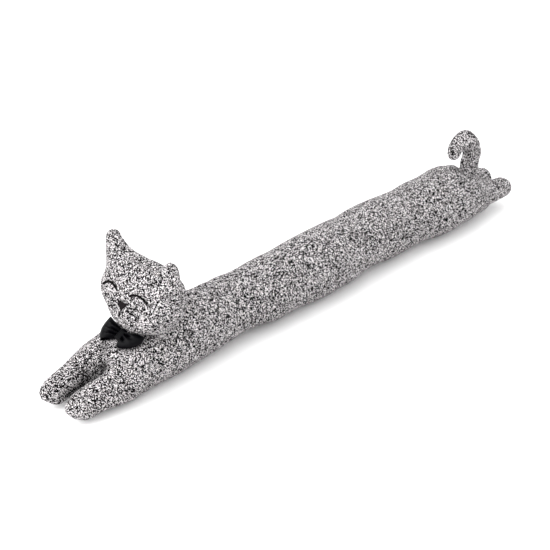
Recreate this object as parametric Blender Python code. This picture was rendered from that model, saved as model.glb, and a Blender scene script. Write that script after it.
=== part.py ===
"""A long stuffed cat that lies along the foot of a door and keeps the draught out.

It lies on its belly with its front legs stretched out ahead, its chin over them, a bow tie
under the chin and its tail curled forward over the rump. Everything is in metres. The origin
is on the floor under the middle of the object, X runs from the front paws to the hind paws,
and Z is up.
"""

import math

import bmesh
import bpy
from mathutils import Vector

MM = 0.001

# Driving sizes.
LENGTH = 0.900  # front paw tips to hind paw tips
PRESS = 0.004  # how far the filling is squashed flat where it meets the floor
END_BULGE = 0.12  # how far a gathered end stands out, as a share of its last half width
SEAT_GAP = 0.0003  # between two pieces that are sewn together

# How many flat sides stand for a round section.
TRUNK_SIDES = 28
LIMB_SIDES = 16
TAIL_SIDES = 14
KNOT_SIDES = 24

# The body tube, in millimetres from the front paw tips. It is lumpy, as loose filling is.
TRUNK_COLUMNS = ("along", "mid", "half_width", "low", "high")
TRUNK_MM = (
    (70, 0, 10, 2, 40),
    (76, 0, 19, 0, 52),
    (90, 0, 28, 0, 62.5),
    (115, 0, 37, 0, 73.2),
    (150, -1, 44, 0, 84),
    (200, -3, 47, 0, 90),
    (255, -4, 48, 0, 90),
    (305, -1, 45, 0, 85),
    (330, -2, 46, 0, 86),
    (375, -4, 49, 0, 92),
    (415, -3, 49, 0, 92),
    (470, -3, 52, 0, 98),
    (516, -1, 52, 0, 97),
    (551, 2, 49, 0, 91),
    (600, 5, 51, 0, 95),
    (673, 4, 48, 0, 90),
    (711, 2, 51, 0, 95),
    (757, 1, 53, 0, 98),
    (782, 2, 51, 0, 96),
    (800, 1, 49, 1, 88.5),
    (814, 0, 46.5, 2, 78.5),
    (829, 0, 42.5, 5, 70),
    (846, 0, 34, 11, 60),
    (861, 0, 22.5, 19, 50),
    (868.5, 0, 11, 27, 43),
)

# One front leg, in millimetres from its paw tip. The other is its mirror image.
LIMB_COLUMNS = ("along", "aside", "up", "half_width", "half_height")
FRONT_LEG_MM = (
    (0.5, 27, 24, 3.5, 3.5),
    (2.5, 27, 24, 7, 7),
    (6, 27, 24, 10, 10),
    (11, 27, 24, 13, 13),
    (19, 27, 24, 16, 16.5),
    (30, 27, 24.3, 18.8, 19.3),
    (47, 27.5, 26, 20.5, 21.5),
    (63, 28, 28, 22.5, 24.5),
    (79, 28.5, 30, 24.5, 28),
    (95, 28.5, 32, 27, 32),
    (112, 28, 35, 27, 35.5),
    (131, 27, 38, 27.5, 38.5),
    (160, 23, 41, 33, 42),
    (190, 18, 43, 38, 44),
    (222, 13.5, 44, 39.5, 45),
    (248, 10.5, 43.5, 38.5, 42),
    (272, 6, 43, 35, 37),
    (285, 4, 43, 24, 25),
)

# One hind foot, in millimetres from the front paw tips. It sticks out a little above the floor.
HIND_FOOT_MM = (
    (800, 16, 39, 20, 21),
    (825, 18, 37, 20, 20),
    (850, 20, 35, 18.5, 18.5),
    (870, 20.5, 34, 17.6, 17.4),
    (882, 20.5, 34, 17.2, 16.8),
    (891, 20.5, 34, 14.8, 14.4),
    (896.5, 20.5, 34, 10.4, 10.2),
    (899.5, 20.5, 34, 4.6, 4.5),
)

# The head: an oval pad with an ear at each upper corner. Its middle is given from the front paw tips.
HEAD_MID = Vector((0.159, 0.0, 0.129))
HEAD_HALF_WIDTH = 0.0675
HEAD_HALF_HEIGHT = 0.052
HEAD_FRONT = 0.038
HEAD_BACK = 0.043
HEAD_FULLNESS = 2.6  # of the brow and cheeks: 2 is an ellipsoid, and more is fuller
HEAD_CROWN_TAPER = 0.5  # how much thinner the pad is at the crown than at the cheeks
HEAD_CHIN = 0.36  # how much further forward the chin is
HEAD_SLICES_DEG = (-78, -62, -46, -32, -21, -12, -4, 4, 12, 21, 32, 46, 62, 78)
EAR_HALF_THICKNESS = 0.015
HALF_OUTLINE_COLUMNS = ("aside", "up")
HALF_OUTLINE_MM = (
    (0, 172.5),
    (20, 173.5),
    (34, 176),
    (42, 182),
    (49, 191),
    (54.5, 198.5),
    (59.5, 202),
    (64, 200.5),
    (67.5, 193),
    (69.5, 177),
    (69.5, 157),
    (68.5, 139),
    (65, 119),
    (56, 99),
    (44, 86),
    (28, 79),
    (12, 76),
    (0, 75.5),
)

# The tail, in millimetres, as it curls up and forward over the rump.
TAIL_COLUMNS = ("along", "aside", "up", "radius")
TAIL_MM = (
    (818, 0, 58, 16),
    (822.5, 0, 74, 15.6),
    (826.5, 0, 91, 15.2),
    (827.5, 0, 108, 14.9),
    (821.5, 0, 124.5, 14.3),
    (808, 0, 135.5, 13.7),
    (794, 0, 134, 12.8),
    (786, 0, 127, 11.8),
    (783, 0, 120, 10.6),
)
TAIL_TIP_DEG = (30, 55, 75)  # where the rings of its round tip lie

# The bow tie lies on the chest. Aside and up are along its own face, and out is from it.
BOW_MID = Vector((0.1176, 0.0, 0.0788))
BOW_SLOPE = math.radians(29)  # of its face, from level
LOOP_END_COLUMNS = ("aside", "up")
LOOP_END_MM = (
    (15, -20),
    (23.5, -17.5),
    (31, -12),
    (36, -4.5),
    (38.5, 3),
    (38.5, 10.5),
    (35, 16.5),
)
LOOP_COLUMNS = ("reach", "front", "back")
LOOP_MM = (
    (0.00, 1.6, 1.6),
    (0.12, 1.6, 1.6),
    (0.25, 3.4, 1.8),
    (0.42, 5.6, 2.2),
    (0.60, 6.8, 2.6),
    (0.78, 6.4, 2.8),
    (0.91, 4.6, 2.4),
    (0.98, 2.4, 1.6),
    (1.00, 0.8, 0.8),
)
RIBBON = 0.0012
GATHERED_HALF_HEIGHT = 0.0034  # of the ribbon inside the knot
PINCHED = 0.0016  # half the thickness of the ribbon's two layers there
KNOT_WALL = 0.0016
KNOT_ROUNDING = 0.35  # how much thinner its edges are
KNOT_HALF_WIDTH = 0.0052

CLOTH = ("marled cloth", (0.36, 0.34, 0.35), 0.95)
SATIN = ("black satin", (0.012, 0.013, 0.016), 0.35)


def clear_scene():
    for thing in list(bpy.data.objects):
        bpy.data.objects.remove(thing)


def finish_of(name, colour, roughness):
    """A cloth's plain material."""
    material = bpy.data.materials.new(name)
    material.use_nodes = True
    shader = material.node_tree.nodes["Principled BSDF"]
    shader.inputs["Base Color"].default_value = (*colour, 1.0)
    shader.inputs["Roughness"].default_value = roughness
    shader.inputs["Metallic"].default_value = 0.0
    return material


def between(rows, position):
    """The row at a place between the table's rows, which are the knots of a smooth curve."""
    last = len(rows) - 2
    index = min(int(position), last)
    share = position - index
    before = rows[max(index - 1, 0)]
    start = rows[index]
    end = rows[index + 1]
    after = rows[min(index + 2, len(rows) - 1)]
    values = []
    for p, a, b, n in zip(before, start, end, after):
        bend = 2 * p - 5 * a + 4 * b - n
        twist = 3 * a - p - 3 * b + n
        values.append(a + 0.5 * share * ((b - p) + share * (bend + share * twist)))
    return values


def refined(rows, steps):
    """The table with the given number of smooth steps from each row to the next."""
    count = (len(rows) - 1) * steps
    return [between(rows, i / steps) for i in range(count + 1)]


def ring(centre, across, upward, sides):
    """Points round an ellipse, from its two half axes."""
    turns = [2 * math.pi * i / sides for i in range(sides)]
    return [centre + across * math.cos(a) + upward * math.sin(a) for a in turns]


def finished(form, name, material):
    """The object that a built form makes."""
    mesh = bpy.data.meshes.new(name)
    form.to_mesh(mesh)
    form.free()
    mesh.materials.append(material)
    mesh.shade_smooth()
    thing = bpy.data.objects.new(name, mesh)
    bpy.context.collection.objects.link(thing)
    return thing


def skin(name, rings, first_pole, last_pole, material):
    """One closed skin over a row of rings, gathered to a point at each end."""
    form = bmesh.new()
    rows = [[form.verts.new(point) for point in points] for points in rings]
    sides = len(rows[0])
    for lower, upper in zip(rows, rows[1:]):
        for i in range(sides):
            j = (i + 1) % sides
            form.faces.new((lower[i], lower[j], upper[j], upper[i]))
    for row, pole, turned in ((rows[0], first_pole, True), (rows[-1], last_pole, False)):
        tip = form.verts.new(pole)
        for i in range(sides):
            j = (i + 1) % sides
            corners = (row[j], row[i], tip) if turned else (row[i], row[j], tip)
            form.faces.new(corners)
    bmesh.ops.recalc_face_normals(form, faces=form.faces)
    return finished(form, name, material)


def apply_modifiers(thing):
    """Makes the object's mesh the shape that its modifiers give."""
    graph = bpy.context.evaluated_depsgraph_get()
    mesh = bpy.data.meshes.new_from_object(thing.evaluated_get(graph))
    thing.modifiers.clear()
    thing.data = mesh


def combine(thing, other, operation):
    """Adds another solid to a solid, or cuts it away, and removes the other one."""
    change = thing.modifiers.new(operation.lower(), "BOOLEAN")
    change.operation = operation
    change.object = other
    change.solver = "EXACT"
    apply_modifiers(thing)
    bpy.data.objects.remove(other)


def cut_at_floor(thing):
    """Cuts the solid off flat where the floor presses it."""
    form = bmesh.new()
    form.from_mesh(thing.data)
    everything = list(form.verts) + list(form.edges) + list(form.faces)
    cut = bmesh.ops.bisect_plane(
        form, geom=everything, dist=1e-6, plane_co=(0, 0, 0), plane_no=(0, 0, -1), clear_outer=True
    )
    rim = [part for part in cut["geom_cut"] if isinstance(part, bmesh.types.BMEdge)]
    bmesh.ops.edgenet_fill(form, edges=rim)
    bmesh.ops.recalc_face_normals(form, faces=form.faces)
    form.to_mesh(thing.data)
    form.free()


def grown(thing, margin):
    """A copy of the solid, a margin bigger all round."""
    mesh = thing.data.copy()
    for vertex, normal in zip(mesh.vertices, [v.normal.copy() for v in thing.data.vertices]):
        vertex.co += normal * margin
    copy = bpy.data.objects.new(thing.name + " grown", mesh)
    bpy.context.collection.objects.link(copy)
    return copy


def place(along, aside, up):
    """A point given in metres from the front paw tips."""
    return Vector((along - LENGTH / 2, aside, up))


def lofted(name, rows, sides, material):
    """A skin over upright ovals. Each row is along, aside, up, half width and half height."""
    rings = []
    for along, aside, up, half_width, half_height in rows:
        across = Vector((0, half_width, 0))
        upward = Vector((0, 0, half_height))
        rings.append(ring(place(along, aside, up), across, upward, sides))
    poles = []
    for row, way in ((rows[0], -1), (rows[-1], 1)):
        along, aside, up, half_width = row[:4]
        poles.append(place(along + way * END_BULGE * half_width, aside, up))
    return skin(name, rings, poles[0], poles[1], material)


def make_trunk(material):
    rows = []
    for row in refined(TRUNK_MM, 2):
        along, mid, half_width, low, high = (value * MM for value in row)
        low -= PRESS
        rows.append((along, mid, (low + high) / 2, half_width, (high - low) / 2))
    return lofted("trunk", rows, TRUNK_SIDES, material)


def make_limb(name, table, side, material):
    """A front leg or a hind foot. Side is 1 for the far one and -1 for the near one."""
    rows = []
    for row in refined(table, 2):
        along, aside, up, half_width, half_height = (value * MM for value in row)
        rows.append((along, side * aside, up, half_width, half_height))
    return lofted(name, rows, LIMB_SIDES, material)


def make_body(material):
    """Belly, front legs and hind feet: one skin with one filling."""
    body = make_trunk(material)
    for side in (-1, 1):
        combine(body, make_limb("front leg", FRONT_LEG_MM, side, material), "UNION")
        combine(body, make_limb("hind foot", HIND_FOOT_MM, side, material), "UNION")
    cut_at_floor(body)
    body.name = "body"
    return body


def head_outline():
    """The outline seen from the front, as (direction, reach, ear reach) all the way round."""
    half = [(aside * MM, up * MM) for aside, up in HALF_OUTLINE_MM]
    whole = half + [(-aside, up) for aside, up in reversed(half[1:-1])]
    outline = []
    for aside, up in whole:
        offset = Vector((aside, up - HEAD_MID.z))
        reach = offset.length
        direction = offset / reach
        oval = 1 / math.hypot(direction.x / HEAD_HALF_WIDTH, direction.y / HEAD_HALF_HEIGHT)
        outline.append((direction, oval, reach - oval))
    return outline


def make_head(body, material):
    outline = head_outline()
    rings = []
    power = 2 / HEAD_FULLNESS
    for degrees in HEAD_SLICES_DEG:
        slant = math.radians(abs(degrees))
        depth = HEAD_BACK if degrees > 0 else -HEAD_FRONT
        bulge = depth * math.sin(slant) ** power
        ear_share = math.sqrt(max(0.0, 1 - (bulge / EAR_HALF_THICKNESS) ** 2))
        points = []
        for direction, oval, ear in outline:
            across = direction * (oval * math.cos(slant) ** power + ear * ear_share)
            height = across.y / HEAD_HALF_HEIGHT
            offset = bulge * (1 - HEAD_CROWN_TAPER * max(0.0, height) ** 2)
            if bulge < 0:
                offset += bulge * HEAD_CHIN * max(0.0, -height)
            points.append(place(HEAD_MID.x + offset, across.x, HEAD_MID.z + across.y))
        rings.append(points)
    front = place(HEAD_MID.x - HEAD_FRONT, 0, HEAD_MID.z)
    back = place(HEAD_MID.x + HEAD_BACK, 0, HEAD_MID.z)
    head = skin("head", rings, front, back, material)
    combine(head, grown(body, SEAT_GAP), "DIFFERENCE")
    head.name = "head"
    return head


def make_tail(body, material):
    rows = [[value * MM for value in row] for row in refined(TAIL_MM, 3)]
    centres = [place(*row[:3]) for row in rows]
    rings = []
    for i, row in enumerate(rows):
        heading = centres[min(i + 1, len(rows) - 1)] - centres[max(i - 1, 0)]
        heading.normalize()
        across = Vector((0, 1, 0))
        upward = across.cross(heading)
        rings.append(ring(centres[i], across * row[3], upward * row[3], TAIL_SIDES))
    tip_heading = (centres[-1] - centres[-2]).normalized()
    tip_radius = rows[-1][3]
    for swing in TAIL_TIP_DEG:
        slant = math.radians(swing)
        centre = centres[-1] + tip_heading * tip_radius * math.sin(slant)
        shrink = math.cos(slant) * tip_radius
        rings.append(ring(centre, across * shrink, upward * shrink, TAIL_SIDES))
    foot = centres[0] - Vector((0, 0, END_BULGE * rows[0][3]))
    tip = centres[-1] + tip_heading * tip_radius
    tail = skin("tail", rings, foot, tip, material)
    combine(tail, grown(body, SEAT_GAP), "DIFFERENCE")
    tail.name = "tail"
    return tail


def bow_place(aside, up, out):
    """A point from the bow's own middle: aside and up along its face, and out from it."""
    along = math.cos(BOW_SLOPE) * up - math.sin(BOW_SLOPE) * out
    height = math.sin(BOW_SLOPE) * up + math.cos(BOW_SLOPE) * out
    return place(BOW_MID.x + along, BOW_MID.y + aside, BOW_MID.z + height)


def band(name, outer, inner, material):
    """A closed band between two grids of points. Each grid runs round, and then across."""
    form = bmesh.new()
    grids = [[[form.verts.new(point) for point in row] for row in grid] for grid in (outer, inner)]
    last = len(outer[0]) - 1
    for i in range(len(outer)):
        j = (i + 1) % len(outer)
        for grid in grids:
            for k in range(last):
                form.faces.new((grid[i][k], grid[j][k], grid[j][k + 1], grid[i][k + 1]))
        for k in (0, last):
            form.faces.new((grids[0][i][k], grids[0][j][k], grids[1][j][k], grids[1][i][k]))
    bmesh.ops.recalc_face_normals(form, faces=form.faces)
    return finished(form, name, material)


def ribbon_row(side, reach, out, inset):
    """Points across the bow's ribbon, at a share of the way from the knot to the loop's end."""
    hidden = LOOP_MM[1][0]
    knot_edge = KNOT_HALF_WIDTH + SEAT_GAP
    spread = max(0.0, (reach - hidden) / (1 - hidden))
    start = knot_edge * min(reach / hidden, 1)
    row = []
    for k, (end_aside, end_up) in enumerate(LOOP_END_MM):
        level = 2 * k / (len(LOOP_END_MM) - 1) - 1
        aside = start + (end_aside * MM - inset - knot_edge) * spread
        up = level * GATHERED_HALF_HEIGHT * (1 - spread) + end_up * MM * spread
        row.append(bow_place(side * aside, up, out))
    return row


def make_bow_loops(material):
    """One ribbon, folded back at each end and joined into a ring that the knot gathers."""
    grids = []
    for inset in (0.0, RIBBON):
        grid = []
        for side in (1, -1):
            front = [(reach, out * MM - inset) for reach, out, _ in LOOP_MM]
            back = [(reach, inset - out * MM) for reach, _, out in LOOP_MM]
            if inset > 0:
                front[-1] = (1.0, MM * LOOP_MM[-1][1] / 2)
                back[-1] = (1.0, -MM * LOOP_MM[-1][2] / 2)
            route = front + back[::-1]
            if side < 0:
                route = route[-2:0:-1]
            grid += [ribbon_row(side, reach, out, inset) for reach, out in route]
        grids.append(grid)
    return band("bow_loops", grids[0], grids[1], material)


def make_bow_knot(material):
    """A short band round the middle of the loops."""
    inner_radius = PINCHED + SEAT_GAP
    grids = []
    for wall in (KNOT_WALL, 0.0):
        grid = []
        for step in range(KNOT_SIDES):
            turn = 2 * math.pi * (step + 0.5) / KNOT_SIDES
            lift = math.copysign(GATHERED_HALF_HEIGHT, math.sin(turn))
            row = []
            for share in (-1, -0.7, 0, 0.7, 1):
                radius = inner_radius + wall * (1 - KNOT_ROUNDING * share ** 4)
                up = lift + radius * math.sin(turn)
                row.append(bow_place(share * KNOT_HALF_WIDTH, up, radius * math.cos(turn)))
            grid.append(row)
        grids.append(grid)
    return band("bow_knot", grids[0], grids[1], material)


def main():
    clear_scene()
    cloth = finish_of(*CLOTH)
    satin = finish_of(*SATIN)
    body = make_body(cloth)
    make_head(body, cloth)
    make_tail(body, cloth)
    make_bow_loops(satin)
    make_bow_knot(satin)


main()
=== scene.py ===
"""A long stuffed cat, asleep along the foot of a door, where it keeps the draught out.

The body, head and tail are cushions of marled cloth that their filling blows up. The closed eyes,
nose, mouth and whiskers are stitched, and a black satin bow lies under the chin. Everything is in
metres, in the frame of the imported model: X runs from the front paws to the hind paws, and Z is up.
"""

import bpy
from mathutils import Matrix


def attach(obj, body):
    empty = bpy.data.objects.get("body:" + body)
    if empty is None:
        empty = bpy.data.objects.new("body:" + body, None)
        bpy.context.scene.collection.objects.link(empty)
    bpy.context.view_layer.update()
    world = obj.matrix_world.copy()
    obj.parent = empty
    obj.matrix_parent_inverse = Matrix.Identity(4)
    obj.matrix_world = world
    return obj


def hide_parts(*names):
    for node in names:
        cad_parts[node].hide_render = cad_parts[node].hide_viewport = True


bl_info = {
    "name": "Stuffed cat draught excluder",
    "version": (1, 0, 0),
    "blender": (4, 5, 0),
    "location": "3D View > Sidebar > Stuffed cat",
    "description": "Makes the cloth, stitching and bow of a long stuffed cat",
    "category": "Add Mesh",
}

import math

import bmesh
import bpy
import numpy as np
from bpy.props import FloatProperty, FloatVectorProperty, PointerProperty
from bpy.types import Operator, Panel, PropertyGroup
from mathutils import Matrix, Vector, noise
from mathutils.bvhtree import BVHTree

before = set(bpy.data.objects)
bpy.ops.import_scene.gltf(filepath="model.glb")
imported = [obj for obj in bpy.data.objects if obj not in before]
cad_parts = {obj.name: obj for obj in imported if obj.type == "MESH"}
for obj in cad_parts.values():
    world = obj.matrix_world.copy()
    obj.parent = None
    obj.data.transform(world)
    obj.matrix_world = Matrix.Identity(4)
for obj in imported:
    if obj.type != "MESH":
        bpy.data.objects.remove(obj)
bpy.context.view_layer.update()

MM = 0.001
LENGTH = 0.900  # front paw tips to hind paw tips
SAME_POINT = 1e-6  # points closer than this are one


def linear(code):
    """The linear colour of an sRGB hex value such as "#8c8689"."""
    shares = [int(code[i:i + 2], 16) / 255 for i in (1, 3, 5)]
    return tuple(s / 12.92 if s <= 0.04045 else ((s + 0.055) / 1.055) ** 2.4 for s in shares)


def place(along, aside, up):
    """A point given in metres from the front paw tips."""
    return Vector((along - LENGTH / 2, aside, up))


# ---------------------------------------------------------------- sizes and colours to change


def size_of(name, description, default, low=0.0, high=1.0):
    """A length in metres that the user can change."""
    return FloatProperty(
        name=name, description=description, default=default, min=low, max=high,
        subtype="DISTANCE", unit="LENGTH", precision=4,
    )


def colour_of(name, description, code):
    """A colour that the user can change. Its default is an sRGB hex value."""
    return FloatVectorProperty(
        name=name, description=description, default=linear(code), size=3, min=0.0, max=1.0,
        subtype="COLOR",
    )


class ClothSettings(PropertyGroup):
    """The marled cloth and what its filling does to it."""

    fleck: size_of("Fleck", "How far apart the yarn's flecks are", 0.0011, 0.0005, 0.02)
    black: colour_of("Black yarn", "The darkest of the yarns", "#0b0a0b")
    dark: colour_of("Dark yarn", "The dark grey yarn", "#2c292b")
    grey: colour_of("Grey yarn", "The middle yarn", "#7b7578")
    pale: colour_of("Pale yarn", "The pale grey yarn", "#b3aeb0")
    white: colour_of("White yarn", "The lightest of the yarns", "#e8e4e5")
    pressure: FloatProperty(
        name="Filling", description="How hard the filling presses on the cloth", default=4.0,
        min=0.0, max=20.0,
    )


class FaceSettings(PropertyGroup):
    """The stitched face."""

    thread: size_of("Thread", "How thick the line of stitches is", 0.003, 0.0005, 0.005)
    colour: colour_of("Thread colour", "The eyes, mouth and whiskers", "#040303")
    nose_colour: colour_of("Nose colour", "The nose's thread", "#140f11")


class BowSettings(PropertyGroup):
    """The satin bow."""

    ribbon: size_of("Ribbon", "How thick the satin is", 0.0006, 0.0002, 0.002)
    colour: colour_of("Satin colour", "The ribbon's colour", "#030305")
    pleat: size_of("Pleat", "How deep the pleats beside the knot are", 0.0034, 0.0, 0.006)


class StageSettings(PropertyGroup):
    """The floor, the lights and the camera."""

    floor: colour_of("Floor", "The floor's colour", "#fcfcfc")
    distance: size_of("Camera distance", "From the camera to the object", 2.3, 0.5, 10.0)
    lens: FloatProperty(
        name="Lens", description="The camera's focal length in millimetres", default=103.4,
        min=20.0, max=300.0,
    )


# ---------------------------------------------------------------- meshes


def apply_modifiers(thing):
    """Makes the thing's mesh the shape that its modifiers give."""
    graph = bpy.context.evaluated_depsgraph_get()
    mesh = bpy.data.meshes.new_from_object(thing.evaluated_get(graph))
    thing.modifiers.clear()
    old = thing.data
    thing.data = mesh
    mesh.name = thing.name
    bpy.data.meshes.remove(old)


def thing_from(form, name):
    """The object that a built form makes."""
    mesh = bpy.data.meshes.new(name)
    form.to_mesh(mesh)
    form.free()
    mesh.shade_smooth()
    thing = bpy.data.objects.new(name, mesh)
    bpy.context.scene.collection.objects.link(thing)
    return thing


def points_of(thing):
    """Where each point of the thing is, as rows of three."""
    co = np.empty(len(thing.data.vertices) * 3, np.float32)
    thing.data.vertices.foreach_get("co", co)
    return co.reshape(-1, 3).astype(float)


def move_points(thing, co):
    """Puts each point of the thing where its row says."""
    thing.data.vertices.foreach_set("co", co.astype(np.float32).ravel())
    thing.data.update()


def outward(thing):
    """The way that each point of the thing faces."""
    facing = np.empty(len(thing.data.vertices) * 3, np.float32)
    thing.data.vertex_normals.foreach_get("vector", facing)
    return facing.reshape(-1, 3).astype(float)


def solid_copy(node, name):
    """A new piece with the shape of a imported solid."""
    form = bmesh.new()
    form.from_mesh(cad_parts[node].data)
    bmesh.ops.remove_doubles(form, verts=form.verts, dist=SAME_POINT)
    return thing_from(form, name)


def tree_of(thing):
    """A tree of the thing's faces, to find the nearest of them quickly."""
    mesh = thing.data
    return BVHTree.FromPolygons([v.co for v in mesh.vertices], [p.vertices for p in mesh.polygons])


def evened(thing, voxel):
    """Gives the piece an even mesh, and so one that cloth can follow."""
    change = thing.modifiers.new("even", "REMESH")
    change.mode = "VOXEL"
    change.voxel_size = voxel
    change.use_smooth_shade = True
    apply_modifiers(thing)


def relaxed(thing, rounds):
    """Smooths the piece a little, so that no fold of it is sharp."""
    change = thing.modifiers.new("relax", "SMOOTH")
    change.factor = 0.5
    change.iterations = rounds
    apply_modifiers(thing)


def doubled(thing, times):
    """Makes the piece's mesh twice as fine, as many times as asked."""
    change = thing.modifiers.new("finer", "SUBSURF")
    change.levels = change.render_levels = times
    apply_modifiers(thing)
    thing.data.shade_smooth()


def eased(value, start, end):
    """0 at the start, 1 at the end, and smooth between."""
    share = np.clip((value - start) / (end - start), 0, 1)
    return share * share * (3 - 2 * share)


def wave(co, length, seed):
    """Smooth noise from about -1 to 1 at each point, with waves of the given length."""
    shift = Vector((seed * 7.31, seed * 3.17, seed * 5.53))
    return np.array([noise.noise(Vector(p) / length + shift) for p in co])


# ---------------------------------------------------------------- filling the cloth

FRAMES = 20  # how many steps the filling has to press the cloth out
SLACK = 0.45  # how far inside its shape the cloth starts, as a share of how far it may be pressed
SEWN_WITHIN = 1.5 * MM  # cloth this near another piece is sewn to it and stays where it is
FREE_BEYOND = 9 * MM  # and cloth further off than this is free
FAR = 1.0  # further than any two places on the object
FIT_ROUNDS = 12  # folds narrower than about this many points are kept when a piece is fitted back


def blow_up(thing, pressure):
    """Lets the filling press the cloth outwards."""
    change = thing.modifiers.new("filling", "CLOTH")
    settings = change.settings
    settings.quality = 5
    settings.mass = 0.3
    settings.use_pressure = True
    settings.uniform_pressure_force = pressure
    settings.effector_weights.gravity = 0  # the finished shape already lies as its weight leaves it
    change.collision_settings.use_self_collision = False
    change.point_cache.frame_start = 1
    change.point_cache.frame_end = FRAMES
    scene = bpy.context.scene
    for step in range(1, FRAMES + 1):
        scene.frame_set(step)
    apply_modifiers(thing)
    scene.frame_set(1)


def held(co, nodes, near, far):
    """How free each point is: 0 where it nearly touches one of the nodes, and 1 far from them."""
    away = np.full(len(co), FAR)
    for node in nodes:
        tree = tree_of(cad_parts[node])
        found = np.array([tree.find_nearest(Vector(p))[3] for p in co])
        away = np.minimum(away, found)
    return eased(away, near, far)


def evened_out(thing, values, rounds):
    """Evens a value out over the cloth, each point with the points next to it."""
    edges = np.empty(len(thing.data.edges) * 2, np.int32)
    thing.data.edges.foreach_get("vertices", edges)
    one, other = edges[0::2], edges[1::2]
    count = np.bincount(one, minlength=len(values)) + np.bincount(other, minlength=len(values))
    for _ in range(rounds):
        beside = np.bincount(one, values[other], len(values))
        beside += np.bincount(other, values[one], len(values))
        values = (values + beside / np.maximum(count, 1)) / 2
    return values


def fit_back(thing, node, rounds):
    """Brings the cloth as a whole back to its solid's size, and keeps its small folds."""
    tree = tree_of(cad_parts[node])
    co = points_of(thing)
    proud = np.empty(len(co))
    for i, point in enumerate(co):
        spot, facing, _, _ = tree.find_nearest(Vector(point))
        proud[i] = (Vector(point) - spot).dot(facing)
    co -= outward(thing) * evened_out(thing, proud, rounds)[:, None]
    move_points(thing, co)


def fill(thing, node, voxel, furthest, beside):
    """Blows the piece up, but nowhere further than asked, and not where it meets its neighbours."""
    evened(thing, voxel)
    relaxed(thing, 2)
    shape = points_of(thing)
    free = held(shape, beside, SEWN_WITHIN, FREE_BEYOND)[:, None]
    start = shape - outward(thing) * furthest * SLACK * free
    move_points(thing, start)
    blow_up(thing, bpy.context.scene.cat_cloth.pressure)
    move = points_of(thing) - start
    reach = np.linalg.norm(move, axis=1, keepdims=True)
    move *= np.minimum(1, furthest / np.maximum(reach, SAME_POINT))
    move_points(thing, shape + (start + move - shape) * free)
    fit_back(thing, node, FIT_ROUNDS)
    relaxed(thing, 2)


def on_floor(co):
    """Nothing goes below the floor."""
    co[:, 2] = np.maximum(co[:, 2], 0)
    return co


def swell(thing, rows):
    """Fills the cloth out, or lets it dip, round the places that the rows give in mm."""
    co = points_of(thing)
    facing = outward(thing)
    for along, aside, up, reach, out in rows:
        away = np.linalg.norm(co - np.array(place(along * MM, aside * MM, up * MM)), axis=1)
        co += facing * (np.exp(-(away / (reach * MM)) ** 2) * out * MM)[:, None]
    move_points(thing, co)


def drawn_in(thing, away, depth, width):
    """Draws the cloth in where each point's distance from a line is small."""
    co = points_of(thing)
    co -= outward(thing) * (np.exp(-(away / width) ** 2) * depth)[:, None]
    move_points(thing, co)


def paint_fold_shade(thing, away, width, share):
    """Paints shade into the cloth's colour near a line, as in a fold where the pile is shut away from
    the light.
    """
    marks = thing.data.attributes.get("fold") or thing.data.attributes.new("fold", "FLOAT", "POINT")
    values = np.empty(len(away), np.float32)
    marks.data.foreach_get("value", values)
    values = np.maximum(values, np.exp(-(away / width) ** 2) * share)
    marks.data.foreach_set("value", values.astype(np.float32))


def away_from(thing, rows):
    """Each point's distance from a line through the places that the rows give in mm."""
    co = points_of(thing)
    path = [np.array(place(*(part * MM for part in row))) for row in rows]
    away = np.full(len(co), FAR)
    for start, end in zip(path, path[1:]):
        run = end - start
        share = np.clip((co - start) @ run / (run @ run), 0, 1)
        away = np.minimum(away, np.linalg.norm(co - start - share[:, None] * run, axis=1))
    return away


# ---------------------------------------------------------------- materials


def material_of(name):
    """A new material, with its tree and the shader that shows."""
    material = bpy.data.materials.new(name)
    material.use_nodes = True
    tree = material.node_tree
    return material, tree, tree.nodes["Principled BSDF"]


def add(tree, kind, settings=(), links=(), **values):
    """Adds a node with its own options, what feeds its inputs, and the values of other inputs.

    A value's name is its input's name with _ for each space, or _ and the input's number.
    """
    node = tree.nodes.new("ShaderNode" + kind)
    for option, value in dict(settings).items():
        setattr(node, option, value)
    for socket, value in values.items():
        key = int(socket[1:]) if socket.startswith("_") else socket.replace("_", " ")
        node.inputs[key].default_value = value
    for socket, source in dict(links).items():
        tree.links.new(source, node.inputs[socket])
    return node


def set_ramp(node, stops):
    """Colours a ramp. Each stop is a position and a linear colour."""
    elements = node.color_ramp.elements
    while len(elements) > 1:
        elements.remove(elements[-1])
    elements[0].position, elements[0].color = stops[0][0], (*stops[0][1], 1)
    for position, colour in stops[1:]:
        elements.new(position).color = (*colour, 1)


STRETCH = 1.6  # how much longer a fleck is than it is wide
FLECK_WAYS = ((1, 1, 1), (1, -1, -0.8), (0.7, 1, -1))  # the ways along which the flecks lie
# How the yarn wanders and frays: the length of each bend, and how far it goes, in flecks.
WANDERS = ((2.4, 0.5), (0.35, 0.15))
PATCH = 2.2  # flecks across a patch in which one lot of them lies on top
ONE_THIRD = 0.34  # of the patches
TWO_THIRDS = 0.67
FIBRES = 2500.0  # to a metre: single fibres, 0.4 mm apart
# Painted shade: where a fold is fully marked, the cloth's colour is multiplied by this.
FOLD_SHADE_LIGHT = 0.06  # the share of the light that gets out of a fold that is pressed shut
# Real floats are 0.25 mm apart, which is too fine to show, so they are drawn 0.5 mm apart.
SATIN_FLOATS = 2000.0  # to a metre
FLOAT_WIDTH = 0.12  # as a share of a float's length
FLOSS_STRANDS = 2200.0  # to a metre: a strand is about 0.45 mm thick


def ranged(tree, source, low, high, new_low, new_high):
    """The source's values between low and high, spread smoothly over a new range."""
    over = add(
        tree, "MapRange", {"interpolation_type": "SMOOTHSTEP"}, {"Value": source},
        From_Min=low, From_Max=high, To_Min=new_low, To_Max=new_high,
    )
    return over.outputs["Result"]


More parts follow.
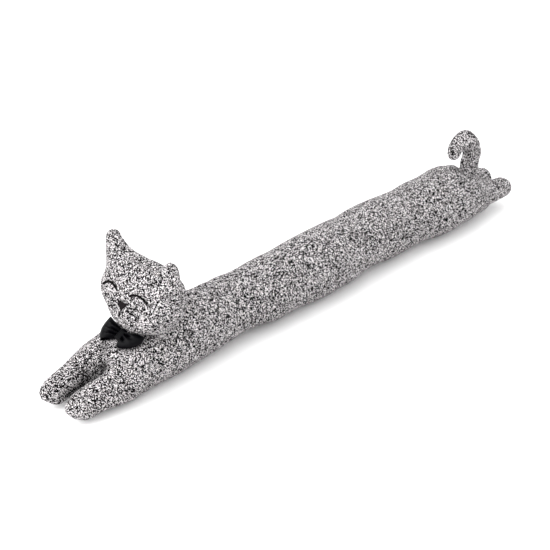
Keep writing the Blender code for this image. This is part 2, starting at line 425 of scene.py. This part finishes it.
def marled_boucle():
    """Loopy yarn spun of black, grey and white strands, then woven."""
    # The eye sees a restless, matt speckle, in which no thread can be followed. Each fleck is one
    # small loop of a strand, about 1 mm from the next.
    settings = bpy.context.scene.cat_cloth
    fleck = settings.fleck
    material, tree, shader = material_of("marled boucle cloth")
    where = add(tree, "TexCoord").outputs["Object"]
    # The yarn wanders a little, and its fibres fray its edges.
    for length, reach in WANDERS:
        wander = add(tree, "TexNoise", links={"Vector": where}, Scale=1 / (length * fleck), Detail=1.0)
        bent = add(
            tree, "VectorMath", {"operation": "MULTIPLY_ADD"}, {0: wander.outputs["Color"], 2: where},
            _1=(reach * fleck,) * 3,
        )
        where = bent.outputs[0]
    shades, heights = [], []
    for way in FLECK_WAYS:
        turn = Vector(way).to_track_quat("Z", "Y").to_euler()
        laid = add(
            tree, "Mapping", {"vector_type": "TEXTURE"}, {"Vector": where},
            Rotation=turn, Scale=(1, 1, STRETCH),
        )
        for feature, kept in (("F1", shades), ("DISTANCE_TO_EDGE", heights)):
            cells = add(
                tree, "TexVoronoi", {"feature": feature}, {"Vector": laid.outputs[0]}, Scale=1 / fleck,
            )
            kept.append(cells.outputs["Color" if feature == "F1" else "Distance"])
    # Three lots of flecks lie across each other, each on top in its own small patches.
    patches = add(tree, "TexVoronoi", links={"Vector": where}, Scale=1 / (PATCH * fleck))
    patch = add(tree, "SeparateColor", links={"Color": patches.outputs["Color"]}).outputs["Green"]
    for other, start in ((1, ONE_THIRD), (2, TWO_THIRDS)):
        on_top = add(tree, "Math", {"operation": "GREATER_THAN"}, {0: patch}, _1=start).outputs[0]
        for layers in (shades, heights):
            laid_over = add(
                tree, "Mix", {"data_type": "RGBA"},
                {"Factor": on_top, 6: layers[0], 7: layers[other]},
            )
            layers[0] = laid_over.outputs[2]
    shade = add(tree, "SeparateColor", links={"Color": shades[0]}).outputs["Red"]
    colours = add(tree, "ValToRGB", links={"Fac": shade})
    set_ramp(colours, (
        (0.00, settings.black), (0.54, settings.black), (0.56, settings.dark), (0.60, settings.dark),
        (0.62, settings.grey), (0.64, settings.grey), (0.66, settings.pale), (0.69, settings.pale),
        (0.71, settings.white), (1.00, settings.white),
    ))
    # Painted shade: the colour is darker between the flecks, where the yarn dips under.
    gap_shade = ranged(tree, heights[0], 0.0, 0.15, 0.45, 1.0)
    # Single fibres catch the light or lie in each other's shade.
    fibres = add(tree, "TexNoise", links={"Vector": where}, Scale=FIBRES, Detail=2.0).outputs[0]
    light = ranged(tree, fibres, 0.25, 0.75, 0.7, 1.25)
    # Painted shade: the colour is darkened where the cloth is marked as a fold, since in a fold the
    # pile is pressed shut and hardly any light gets out of it again.
    fold = add(tree, "Attribute", {"attribute_name": "fold"}).outputs["Fac"]
    fold_shade = add(tree, "MapRange", links={"Value": fold}, To_Min=1.0, To_Max=FOLD_SHADE_LIGHT).outputs["Result"]
    shading = gap_shade
    for factor in (light, fold_shade):
        shading = add(tree, "Math", {"operation": "MULTIPLY"}, {0: shading, 1: factor}).outputs[0]
    final = add(
        tree, "VectorMath", {"operation": "SCALE"}, {0: colours.outputs["Color"], "Scale": shading},
    )
    tree.links.new(final.outputs[0], shader.inputs["Base Color"])
    shader.inputs["Roughness"].default_value = 0.95
    shader.inputs["Specular IOR Level"].default_value = 0.05
    loops = ranged(tree, heights[0], 0.0, 0.4, 0.0, 1.0)
    pile = add(tree, "Math", {"operation": "MULTIPLY_ADD"}, {0: fibres, 2: loops}, _1=0.3)
    bump = add(tree, "Bump", links={"Height": pile.outputs[0]}, Strength=0.7, Distance=0.5 * MM)
    tree.links.new(bump.outputs[0], shader.inputs["Normal"])
    return material


def threads_shown(tree, shader, where, per_metre, colour, brightest, relief):
    """Shows single threads, each a little deeper or brighter than the next and standing proud."""
    threads = add(tree, "TexNoise", links={"Vector": where}, Scale=per_metre, Detail=2.0).outputs[0]
    tone = add(tree, "ValToRGB", links={"Fac": threads})
    set_ramp(tone, ((0.3, Vector(colour) * 0.6), (0.7, Vector(colour) * brightest)))
    tree.links.new(tone.outputs["Color"], shader.inputs["Base Color"])
    bump = add(tree, "Bump", links={"Height": threads}, Strength=relief, Distance=0.2 * MM)
    tree.links.new(bump.outputs[0], shader.inputs["Normal"])
    return threads


def black_satin():
    """Filament yarn in a satin weave, dyed black."""
    # Its long floats give the eye a soft cool gloss along the folds.
    material, tree, shader = material_of("black satin ribbon")
    where = add(tree, "TexCoord").outputs["Object"]
    laid = add(tree, "Mapping", links={"Vector": where}, Scale=(1.0, FLOAT_WIDTH, 1.0)).outputs[0]
    colour = bpy.context.scene.cat_bow.colour
    floats = threads_shown(tree, shader, laid, SATIN_FLOATS, colour, 1.3, 0.25)
    rough = add(tree, "MapRange", links={"Value": floats}, To_Min=0.28, To_Max=0.42)
    tree.links.new(rough.outputs[0], shader.inputs["Roughness"])
    shader.inputs["Specular IOR Level"].default_value = 0.06
    return material


def cotton_floss(name, colour):
    """Six-strand cotton, mercerised."""
    # Its twisted strands give the eye a fine grain and a faint gloss.
    material, tree, shader = material_of(name)
    where = add(tree, "TexCoord").outputs["Object"]
    threads_shown(tree, shader, where, FLOSS_STRANDS, colour, 1.7, 0.4)
    shader.inputs["Roughness"].default_value = 0.75
    shader.inputs["Specular IOR Level"].default_value = 0.08
    return material


made = {}


def once(make, *given):
    """The material that a maker gives, made the first time it is asked for."""
    key = (make.__name__, *given[:1])
    if key not in made:
        made[key] = make(*given)
    return made[key]


def finish(thing, material, node=None):
    """Gives a piece its cloth and fixes it to the object."""
    thing.data.materials.clear()
    thing.data.materials.append(material)
    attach(thing, "root")
    if node:
        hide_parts(node)
    return thing


# ---------------------------------------------------------------- body, head and tail


def rough_skin(thing, rows):
    """Gives the cloth lumps. Each row is a lump's height and its length in mm."""
    co = points_of(thing)
    facing = outward(thing)
    for seed, (height, length) in enumerate(rows):
        co += facing * (wave(co, length * MM, seed + 1) * height * MM)[:, None]
    move_points(thing, co)


# Where the filling stands fuller, or where it dips, as (along, aside, up, reach, outwards) in mm from
# the front paw tips.
BODY_SWELLS = (
    (4, -25, 17, 10, -3.5), (9, -15, 25, 9, -2), (32, -38, 9, 14, 3.2), (18, 16, 12, 9, 3),
    (84, 47, 50, 22, 1.5), (145, -41, 6, 24, -1.4), (313, 25, 77, 20, 3), (473, 34, 84, 26, -2.6),
    (507, 26, 90, 20, -2.6), (566, -31, 8, 26, -4), (690, -26, 6, 28, -4), (604, 37, 83, 20, -2),
    (741, 32, 88, 20, -3.2), (813, -36, 13, 22, -3.2), (798, 12, 88, 8, 2.4), (886, 24, 48, 9, 2.6),
    (770, -36, 12, 18, -1.6), (896, -20, 46, 9, -1.8), (78, -3, 47, 14, -10), (61, -14, 45, 9, -5),
    (797, -16, 86, 9, -5), (772, -17, 94, 8, 1.5), (787, -24, 87, 8, 1.5), (596, -27, 8, 22, -2.4),
    (319, -28, 6, 26, -4.6), (281, -34, 10, 18, -2.8), (345, -33, 8, 20, -2.2),
    (255, -35, 7, 18, -1.6), (400, -34, 9, 26, -2.4), (429, -32, 6, 14, -0.8),
    (500, -39, 12, 26, -1.6), (645, -31, 12, 22, -1.2), (278, 23, 80, 14, 1.6),
    (366, 29, 79, 20, -1.2), (425, 27, 84, 26, -1.2), (24, 12, 13, 10, 2.5),
)
HEAD_SWELLS = (
    (159, 62, 198, 15, 5.8), (154, 66, 180, 20, 3.4), (168, 50, 184, 14, 1.8), (156, 50, 193, 7, -1.5),
    (172, 36, 173, 9, 2.2), (125, 42, 108, 14, -2.6), (140, 58, 147, 11, -2), (133, 55, 120, 18, 2.6),
    (180, 8, 169, 18, -3.6), (190, -3, 159, 12, 0.8), (171, -64, 178, 16, 5.8),
    (157, -52, 197, 8, -1), (166, -60, 189, 11, 3.4), (191, -44, 148, 14, 1),
)
TAIL_SWELLS = ((812, 3, 147, 14, 2.8), (835, -12, 91, 13, -2.4), (815, 12, 90, 9, 1.8))

# Lines along which the cloth lies in a fold, or in the gap between the legs, as (along, aside, up) in
# mm from the front paw tips; shade is painted along each of them.
LEG_GAP = ((36, 1, 18), (52, 1, 24), (64, 0, 30), (76, -3, 40), (84, -4, 48))
LEG_FOLD = ((64, -3, 50), (76, -2, 55), (84, 1, 60), (92, 7, 62), (101, 15, 64))
TAIL_FOLD = ((789, -11, 90), (791, -14, 88), (794, -17, 86), (796, -20, 84))
HEAD_SEAM = 159 * MM  # how far along the seam between the face and the back of the head runs

# How fine each cushion's mesh is before it is filled, and how far its filling may press it out.
BODY_MESH = 3.8 * MM
BODY_PRESS = 4 * MM
HEAD_MESH = 2.4 * MM
HEAD_PRESS = 3 * MM
TAIL_MESH = 2.2 * MM
TAIL_PRESS = 2 * MM

# Lumps of filling, and then the yarn's loops, as (height, length) in mm.
BODY_LUMPS = ((0.7, 38), (0.5, 16))
HEAD_LUMPS = ((0.9, 30),)
TAIL_LUMPS = ((0.6, 20),)
BODY_LOOPS = ((0.5, 3.2),)
HEAD_LOOPS = TAIL_LOOPS = ((0.45, 3.0),)


class CAT_OT_body(Operator):
    """Makes the body with its legs and feet, of one cloth with one filling"""

    bl_idname = "cat.body"
    bl_label = "Body"

    def execute(self, context):
        body = solid_copy("body", "cat_body")
        fill(body, "body", BODY_MESH, BODY_PRESS, ("head", "tail"))
        rough_skin(body, BODY_LUMPS)
        swell(body, BODY_SWELLS)
        move_points(body, on_floor(points_of(body)))
        doubled(body, 1)
        # Little light reaches down between the front legs, and a fold runs up from where they part:
        # shade is painted into the cloth along both.
        paint_fold_shade(body, away_from(body, LEG_GAP), width=12 * MM, share=0.9)
        drawn_in(body, away_from(body, LEG_FOLD), depth=4.5 * MM, width=4.5 * MM)
        paint_fold_shade(body, away_from(body, LEG_FOLD), width=5 * MM, share=0.6)
        # The tail's weight pulls a short crease in front of its foot, and shade is painted into the
        # crease.
        away = away_from(body, TAIL_FOLD)
        drawn_in(body, away, depth=4.5 * MM, width=3.5 * MM)
        paint_fold_shade(body, away, width=5.5 * MM, share=0.9)
        rough_skin(body, BODY_LOOPS)
        move_points(body, on_floor(points_of(body)))
        finish(body, once(marled_boucle), "body")
        return {"FINISHED"}


class CAT_OT_head(Operator):
    """Makes the head with its two ears"""

    bl_idname = "cat.head"
    bl_label = "Head"

    def execute(self, context):
        head = solid_copy("head", "cat_head")
        fill(head, "head", HEAD_MESH, HEAD_PRESS, ("body", "bow_loops", "bow_knot"))
        # The tips of the ears crowd when they fill, so the mesh is evened again.
        evened(head, HEAD_MESH)
        relaxed(head, 2)
        swell(head, HEAD_SWELLS)
        relaxed(head, 1)
        rough_skin(head, HEAD_LUMPS)
        doubled(head, 1)
        away = np.abs(points_of(head)[:, 0] - place(HEAD_SEAM, 0, 0).x)
        drawn_in(head, away, depth=0.9 * MM, width=1.6 * MM)
        rough_skin(head, HEAD_LOOPS)
        finish(head, once(marled_boucle), "head")
        return {"FINISHED"}


class CAT_OT_tail(Operator):
    """Makes the curled tail"""

    bl_idname = "cat.tail"
    bl_label = "Tail"

    def execute(self, context):
        tail = solid_copy("tail", "cat_tail")
        fill(tail, "tail", TAIL_MESH, TAIL_PRESS, ("body",))
        swell(tail, TAIL_SWELLS)
        rough_skin(tail, TAIL_LUMPS)
        doubled(tail, 2)
        rough_skin(tail, TAIL_LOOPS)
        finish(tail, once(marled_boucle), "tail")
        return {"FINISHED"}


# ---------------------------------------------------------------- the stitched face

# Lines of stitches seen from the front, as (aside, up) in mm from the middle of the cat and from the
# floor. Far is the cat's left side. It was stitched by hand, so its two sides differ a little.
EYES_MM = {
    "far": ((41.5, 137), (35, 143), (29, 146.5), (22, 147.5), (15.5, 146.5), (9, 143.5)),
    "near": (
        (-16, 143.5), (-19.5, 146), (-25, 148.5), (-32.5, 148.8), (-37, 147.5), (-42, 145),
        (-46.2, 142.2),
    ),
}
MOUTH_MM = ((-2, 118.5), (-1, 113), (0, 106))
WHISKERS_MM = {
    "far": (((9, 121), (18, 117), (28, 111.5)), ((9, 127), (16, 125.5), (22, 122.5))),
    "near": (((-11, 126), (-20, 128.3), (-30, 129.8)), ((-12, 121.5), (-22, 121), (-33, 118.5))),
}
WHISKER_THREAD = 0.55  # as a share of the eyes' thread
MOUTH_THREAD = 0.5
STITCH = 4.2 * MM  # its length
STITCH_STEP = 2.6 * MM  # from the start of a stitch to the start of the next
STITCH_SIDES = 8
# How thick a stitch is along its length, as (share of its length, share of its thickness).
STITCH_PROFILE = ((0.0, 0.3), (0.12, 0.8), (0.35, 1.0), (0.65, 1.0), (0.88, 0.8), (1.0, 0.3))
STITCH_SLANT = 0.3  # how far a stitch slants across its line, as a share of its thickness
STITCH_SUNK = 0.2  # how far its ends stand off the cloth, and how much further its middle does
STITCH_RISE = 0.28
PATH_POINTS = 200

NOSE_MID = -2.5 * MM
NOSE_HALF_WIDTH = 10 * MM
NOSE_TOP = 131 * MM
NOSE_BOTTOM = 118 * MM
NOSE_CORNER = 1.5 * MM  # how deep the nose still is at its two upper corners
NOSE_DIP = 0.2 * MM
NOSE_BEND = 1.15  # its two lower edges are straight at 1, and hollow above that
NOSE_CLOSING = 0.12  # how much closer together its threads lie at their lower ends
NOSE_THREADS = 33
NOSE_THREAD = 0.36 * MM  # half its thickness
NOSE_THREAD_SIDES = 6
NOSE_THREAD_STEPS = 6

NEVER_AHEAD = Vector((1, 0.1, 0.2))  # into the face, where no stitch runs


def tube(form, path, radii, sides):
    """Adds a closed thread along a path to a form."""
    rows = []
    for i, point in enumerate(path):
        heading = (path[min(i + 1, len(path) - 1)] - path[max(i - 1, 0)]).normalized()
        across = heading.cross(NEVER_AHEAD).normalized()
        upward = across.cross(heading)
        row = []
        for k in range(sides):
            turn = 2 * math.pi * k / sides
            row.append(form.verts.new(
                point + (across * math.cos(turn) + upward * math.sin(turn)) * radii[i]
            ))
        rows.append(row)
    for lower, upper in zip(rows, rows[1:]):
        for k in range(sides):
            j = (k + 1) % sides
            form.faces.new((lower[k], lower[j], upper[j], upper[k]))
    form.faces.new(rows[0][::-1])
    form.faces.new(rows[-1])


def smooth_path(points, count):
    """Evenly spaced points on a smooth curve through the given ones."""
    rows = np.array(points, float)
    found = []
    for i in range(len(rows) - 1):
        before, start = rows[max(i - 1, 0)], rows[i]
        end, after = rows[i + 1], rows[min(i + 2, len(rows) - 1)]
        for share in np.linspace(0, 1, 12, endpoint=False):
            bend = 2 * before - 5 * start + 4 * end - after
            twist = 3 * start - before - 3 * end + after
            found.append(start + 0.5 * share * ((end - before) + share * (bend + share * twist)))
    found.append(rows[-1])
    found = np.array(found)
    run = np.concatenate([[0], np.cumsum(np.linalg.norm(np.diff(found, axis=0), axis=1))])
    spots = np.linspace(0, run[-1], count)
    return np.stack([np.interp(spots, run, found[:, k]) for k in range(found.shape[1])], 1)


class HeadSkin:
    """The front of the head, on which stitches are laid."""

    def __init__(self):
        self.tree = tree_of(bpy.data.objects["cat_head"])

    def point(self, aside, up, lift):
        """The point on the face seen from the front, lifted off the cloth."""
        start = Vector((-LENGTH, aside, up))
        spot, facing, _, _ = self.tree.ray_cast(start, Vector((1, 0, 0)))
        if spot is None:
            raise RuntimeError("A stitch misses the head; move it nearer to the middle of the face")
        return spot + facing.lerp(Vector((-1, 0, 0)), 0.5).normalized() * lift


def stitched_line(form, skin, rows, thickness):
    """A line of stem stitches, each overlapping the last by a third."""
    path = smooth_path([(aside * MM, up * MM) for aside, up in rows], PATH_POINTS)
    length = np.linalg.norm(np.diff(path, axis=0), axis=1).sum()
    count = max(2, round((length - STITCH) / STITCH_STEP) + 1)
    for i in range(count):
        start = (length - STITCH) * i / (count - 1) / length
        spots = []
        radii = []
        for share, width in STITCH_PROFILE:
            at = min(start + share * STITCH / length, 1.0) * (len(path) - 1)
            aside, up = path[int(round(at))]
            lift = thickness * (STITCH_SUNK + STITCH_RISE * math.sin(math.pi * share))
            slant = (share - 0.5) * STITCH_SLANT * thickness
            spots.append(skin.point(aside + slant, up + slant, lift))
            radii.append(thickness * 0.5 * width)
        tube(form, spots, radii, STITCH_SIDES)


class CAT_OT_face(Operator):
    """Stitches the closed eyes, the nose, the mouth and the whiskers on the head"""

    bl_idname = "cat.face"
    bl_label = "Face"

    def execute(self, context):
        if "cat_head" not in bpy.data.objects:
            raise RuntimeError("The face is stitched on the head, so make the head first")
        settings = context.scene.cat_face
        skin = HeadSkin()
        floss = once(cotton_floss, "black cotton floss", settings.colour)
        for side, row in EYES_MM.items():
            form = bmesh.new()
            stitched_line(form, skin, row, settings.thread)
            finish(thing_from(form, "stitched_eye_" + side), floss)
        for side, rows in WHISKERS_MM.items():
            form = bmesh.new()
            for row in rows:
                stitched_line(form, skin, row, settings.thread * WHISKER_THREAD)
            finish(thing_from(form, "stitched_whiskers_" + side), floss)
        form = bmesh.new()
        stitched_line(form, skin, MOUTH_MM, settings.thread * MOUTH_THREAD)
        finish(thing_from(form, "stitched_mouth"), floss)
        nose = self.nose(skin)
        finish(nose, once(cotton_floss, "dark grey cotton floss", settings.nose_colour))
        return {"FINISHED"}

    def nose(self, skin):
        """Satin stitches side by side, from the nose's top edge down to its two lower edges."""
        form = bmesh.new()
        for i in range(NOSE_THREADS):
            aside = (2 * i / (NOSE_THREADS - 1) - 1) * NOSE_HALF_WIDTH
            share = abs(aside) / NOSE_HALF_WIDTH
            top = NOSE_TOP - NOSE_DIP * math.cos(math.pi * share)
            bottom = NOSE_BOTTOM + (NOSE_TOP - NOSE_BOTTOM - NOSE_CORNER) * share ** NOSE_BEND
            spots = []
            radii = []
            for step in range(NOSE_THREAD_STEPS + 1):
                along = step / NOSE_THREAD_STEPS
                swelling = math.sin(math.pi * along) ** 0.5
                up = top + (bottom - top) * along
                lift = (0.25 + 0.8 * swelling) * MM
                spots.append(skin.point(NOSE_MID + aside * (1 - NOSE_CLOSING * along), up, lift))
                radii.append(NOSE_THREAD * (0.6 + 0.4 * swelling))
            tube(form, spots, radii, NOSE_THREAD_SIDES)
        return thing_from(form, "stitched_nose")


# ---------------------------------------------------------------- the bow

# The bow lies on the chest. Aside and up are along its own face, and out is from it.
BOW_MID = Vector((0.1176, 0.0, 0.0788))
BOW_SLOPE = math.radians(29)  # of its face, from level
# The fold at the end of each loop, as (aside, up) in mm from the bow's middle, by the loop's side.
LOOP_ENDS_MM = {
    1: ((22, -20), (27.5, -16), (31.5, -10.5), (34, -6), (35.5, 0), (36.5, 7), (37, 15)),
    -1: ((9.5, -16.5), (17, -14.5), (24, -10.5), (30.5, -5), (34.5, 1.5), (36.5, 8), (35, 14.5)),
}
# How far the ribbon stands out, as (reach from the knot to the fold, front, back), the last two in mm.
LOOP_MM = (
    (0.00, 1.2, 1.2), (0.12, 1.3, 1.2), (0.25, 3.2, 1.6), (0.42, 5.4, 2.0), (0.60, 6.6, 2.4),
    (0.78, 6.2, 2.5), (0.91, 4.4, 2.0), (0.98, 2.0, 1.2), (1.00, 0.4, 0.4),
)
KNOT_EDGE = 4.6 * MM
UNDER_KNOT = 0.1  # the share of a loop's reach that lies under the knot
GATHERED_MM = (-6.5, 7.5)  # the ribbon's lower and upper edge where the knot gathers it
PLEATS = 3.2  # how many times the ribbon turns from hollow to ridge across half its width
PLEAT_SHIFTS = {1: 0.35, -1: -0.1}  # by the loop's side, so that the two loops differ
PLEAT_MID = 0.3  # the share of a loop's reach where its pleats are deepest
PLEAT_REACH = 0.28
BACK_PLEAT = -0.2  # how far the pleats press through to the back, as a share of their depth
EDGE_FALL = 0.35  # how much flatter a loop is at its two edges, as a share of its fullness
ROWS_ACROSS = 49  # rows of points across the ribbon, and along each face of a loop
ROWS_ALONG = 40
KNOT_SIDES = 40
KNOT_ROWS = 17
KNOT_HALF_WIDTH = 5.2 * MM
KNOT_RADIUS = 3.3 * MM
KNOT_ROUNDING = 0.9 * MM  # how much thinner the knot is at its two edges
KNOT_CREASE = 0.22 * MM
KNOT_CREASES = 3.3  # how many times the knot turns from hollow to ridge across half its width
KNOT_CREASE_SHIFT = 0.8  # how far its creases slant, round the knot
KNOT_SPAN = 0.8  # the share of the gathered ribbon's height that the knot closes round


def bow_place(aside, up, out):
    """A point from the bow's own middle: aside and up along its face, and out from it."""
    along = math.cos(BOW_SLOPE) * up - math.sin(BOW_SLOPE) * out
    height = math.sin(BOW_SLOPE) * up + math.cos(BOW_SLOPE) * out
    return place(BOW_MID.x + along, BOW_MID.y + aside, BOW_MID.z + height)


def loop_point(side, reach, level, front, pleat):
    """A point of the ribbon: reach runs from the knot to the fold, and level across the ribbon."""
    reaches, fronts, backs = zip(*LOOP_MM)
    outs = np.interp(reach, reaches, fronts if front else backs) * MM
    opened = max(0.0, (reach - UNDER_KNOT) / (1 - UNDER_KNOT))
    end = np.array(LOOP_ENDS_MM[side]) * MM
    at = (level + 1) / 2 * (len(end) - 1)
    end_aside = np.interp(at, range(len(end)), end[:, 0])
    end_up = np.interp(at, range(len(end)), end[:, 1])
    aside = KNOT_EDGE * min(reach / UNDER_KNOT, 1) + (end_aside - KNOT_EDGE) * opened
    gathered = np.interp(level, (-1, 1), GATHERED_MM) * MM
    up = gathered * (1 - opened) + end_up * opened
    # The front is fullest midway across the ribbon, and its pleats press faintly on the back.
    crown = 1 - EDGE_FALL * abs(level) ** 3 if front else 1
    fold = math.cos(math.pi * (PLEATS * level + PLEAT_SHIFTS[side]))
    deep = pleat * math.exp(-((reach - PLEAT_MID) / PLEAT_REACH) ** 2)
    out = outs * crown + deep * fold * (1 if front else BACK_PLEAT)
    return bow_place(side * aside, up, out if front else -out)


def ring_of_ribbon(rows, name):
    """The ring of ribbon whose rows of points run across it, the last row joined to the first."""
    form = bmesh.new()
    rows = [[form.verts.new(point) for point in row] for row in rows]
    for i, row in enumerate(rows):
        other = rows[(i + 1) % len(rows)]
        for k in range(len(row) - 1):
            form.faces.new((row[k], other[k], other[k + 1], row[k + 1]))
    bmesh.ops.recalc_face_normals(form, faces=form.faces)
    return thing_from(form, name)


def thickened(thing, thickness, offset):
    """Gives the ribbon its thickness: inside its shape at an offset of -1, and half each side at 0."""
    change = thing.modifiers.new("ribbon", "SOLIDIFY")
    change.thickness = thickness
    change.offset = offset
    apply_modifiers(thing)


class CAT_OT_bow(Operator):
    """Folds the satin ribbon into two loops and ties the knot round them"""

    bl_idname = "cat.bow"
    bl_label = "Bow"

    def execute(self, context):
        settings = context.scene.cat_bow
        satin = once(black_satin)
        loops = finish(self.loops(settings), satin, "bow_loops")
        knot = finish(self.knot(settings), satin, "bow_knot")
        return {"FINISHED"}

    def loops(self, settings):
        """One ring of ribbon: out along the front of a loop, and back behind it, on either side."""
        out = [(i / ROWS_ALONG, True) for i in range(ROWS_ALONG)]
        back = [(1 - i / ROWS_ALONG, False) for i in range(ROWS_ALONG)]
        levels = [2 * k / (ROWS_ACROSS - 1) - 1 for k in range(ROWS_ACROSS)]
        rows = []
        for side in (1, -1):
            for reach, front in out + back:
                if side < 0:
                    front = not front
                rows.append([loop_point(side, reach, level, front, settings.pleat) for level in levels])
        loops = ring_of_ribbon(rows, "satin_loops")
        relaxed(loops, 2)
        thickened(loops, settings.ribbon, 0)
        return loops

    def knot(self, settings):
        """A short band of the same ribbon, creased where it is pulled tight round the loops."""
        rows = []
        for step in range(KNOT_SIDES):
            turn = 2 * math.pi * (step + 0.5) / KNOT_SIDES
            lift = GATHERED_MM[0 if math.sin(turn) < 0 else 1] * MM * KNOT_SPAN
            slant = KNOT_CREASE_SHIFT * math.sin(turn)
            row = []
            for share in np.linspace(-1, 1, KNOT_ROWS):
                crease = KNOT_CREASE * math.cos(KNOT_CREASES * math.pi * share + slant)
                radius = KNOT_RADIUS - KNOT_ROUNDING * share ** 4 + crease
                up = lift + radius * math.sin(turn)
                row.append(bow_place(share * KNOT_HALF_WIDTH, up, radius * math.cos(turn)))
            rows.append(row)
        knot = ring_of_ribbon(rows, "satin_knot")
        thickened(knot, settings.ribbon, -1)
        return knot


# ---------------------------------------------------------------- the stage

# Each light as (name, spot, what it aims at, size, power). The sky fills in what they leave dark.
LIGHTS = (
    ("overhead", (-0.2, 0.2, 2.2), (0.0, 0.0, 0.0), 2.6, 14.0),
    ("front", (-2.2, 0.9, 1.3), (-0.2, 0.0, 0.1), 2.2, 58.0),
)
SKY = 1.55
FLOOR_SIZE = 20.0  # in metres, so that the floor's edge never shows
FLOOR_DROP = 0.3 * MM  # the floor lies this far under the cloth, so the two never flicker
CAMERA_TURN = math.radians(46.5)  # the way the camera looks, round from along the body
CAMERA_TILT = math.radians(30.65)  # and down
CAMERA_AIM = Vector((0, 0, 0.05))
CAMERA_LEFT = 37.2 * MM  # how far it stands to the left of its aim, and below it
CAMERA_DOWN = 12.0 * MM


class CAT_OT_stage(Operator):
    """Lays the pale floor, hangs the soft lights and sets up the camera"""

    bl_idname = "cat.stage"
    bl_label = "Stage"

    def execute(self, context):
        settings = context.scene.cat_stage
        scene = context.scene
        form = bmesh.new()
        bmesh.ops.create_grid(form, x_segments=1, y_segments=1, size=FLOOR_SIZE)
        floor = thing_from(form, "floor")
        floor.location.z = -FLOOR_DROP
        # Matt white card: the eye sees no grain and no gloss in it.
        material, _, shader = material_of("matt white card floor")
        shader.inputs["Base Color"].default_value = (*settings.floor, 1)
        shader.inputs["Roughness"].default_value = 0.9
        shader.inputs["Specular IOR Level"].default_value = 0.0
        floor.data.materials.append(material)
        for light in LIGHTS:
            self.light(scene, *light)
        world = bpy.data.worlds.new("studio")
        world.use_nodes = True
        sky = world.node_tree.nodes["Background"]
        sky.inputs["Color"].default_value = (1, 1, 1, 1)
        sky.inputs["Strength"].default_value = SKY
        scene.world = world
        scene.view_settings.view_transform = "Standard"
        self.camera(scene, settings)
        return {"FINISHED"}

    def light(self, scene, name, spot, aim, size, power):
        """Hangs a square soft light that faces what it aims at."""
        data = bpy.data.lights.new(name, "AREA")
        data.shape = "SQUARE"
        data.size = size
        data.energy = power
        lamp = bpy.data.objects.new(name, data)
        lamp.location = spot
        lamp.rotation_euler = (Vector(aim) - Vector(spot)).to_track_quat("-Z", "Y").to_euler()
        scene.collection.objects.link(lamp)

    def camera(self, scene, settings):
        """Stands the camera where the object is seen from its front paws, and from above."""
        ahead = Vector((math.cos(CAMERA_TURN), math.sin(CAMERA_TURN), 0))
        look = ahead * math.cos(CAMERA_TILT) - Vector((0, 0, math.sin(CAMERA_TILT)))
        right = Vector((ahead.y, -ahead.x, 0))
        up = right.cross(look)
        data = bpy.data.cameras.new("camera")
        data.lens = settings.lens
        data.sensor_width = 36.0
        camera = bpy.data.objects.new("camera", data)
        spot = CAMERA_AIM - look * settings.distance
        camera.location = spot - right * CAMERA_LEFT - up * CAMERA_DOWN
        camera.rotation_euler = Matrix((right, up, -look)).transposed().to_euler()
        scene.collection.objects.link(camera)
        scene.camera = camera


# ---------------------------------------------------------------- the sidebar


class CAT_PT_panel(Panel):
    """Lists what can be made, and its sizes and colours"""

    bl_idname = "CAT_PT_panel"
    bl_label = "Stuffed cat"
    bl_space_type = "VIEW_3D"
    bl_region_type = "UI"
    bl_category = "Stuffed cat"

    def draw(self, context):
        layout = self.layout
        for settings in SETTINGS:
            group = getattr(context.scene, settings)
            box = layout.box()
            box.label(text=group.bl_rna.name)
            for key in group.__annotations__:
                box.prop(group, key)
        for operator in MAKERS:
            layout.operator(operator.bl_idname)


SETTINGS = {
    "cat_cloth": ClothSettings,
    "cat_face": FaceSettings,
    "cat_bow": BowSettings,
    "cat_stage": StageSettings,
}
MAKERS = (CAT_OT_body, CAT_OT_head, CAT_OT_tail, CAT_OT_face, CAT_OT_bow, CAT_OT_stage)


def register():
    """Makes the operators, the settings and the panel known."""
    for kind in (*SETTINGS.values(), *MAKERS, CAT_PT_panel):
        bpy.utils.register_class(kind)
    for name, kind in SETTINGS.items():
        setattr(bpy.types.Scene, name, PointerProperty(type=kind))


def unregister():
    """Takes them away again."""
    for name in SETTINGS:
        delattr(bpy.types.Scene, name)
    for kind in reversed((*SETTINGS.values(), *MAKERS, CAT_PT_panel)):
        bpy.utils.unregister_class(kind)


def main():
    """Makes the whole cat on its stage."""
    register()
    for operator in MAKERS:
        getattr(bpy.ops.cat, operator.bl_idname.split(".")[1])()


if __name__ == "__main__":
    main()
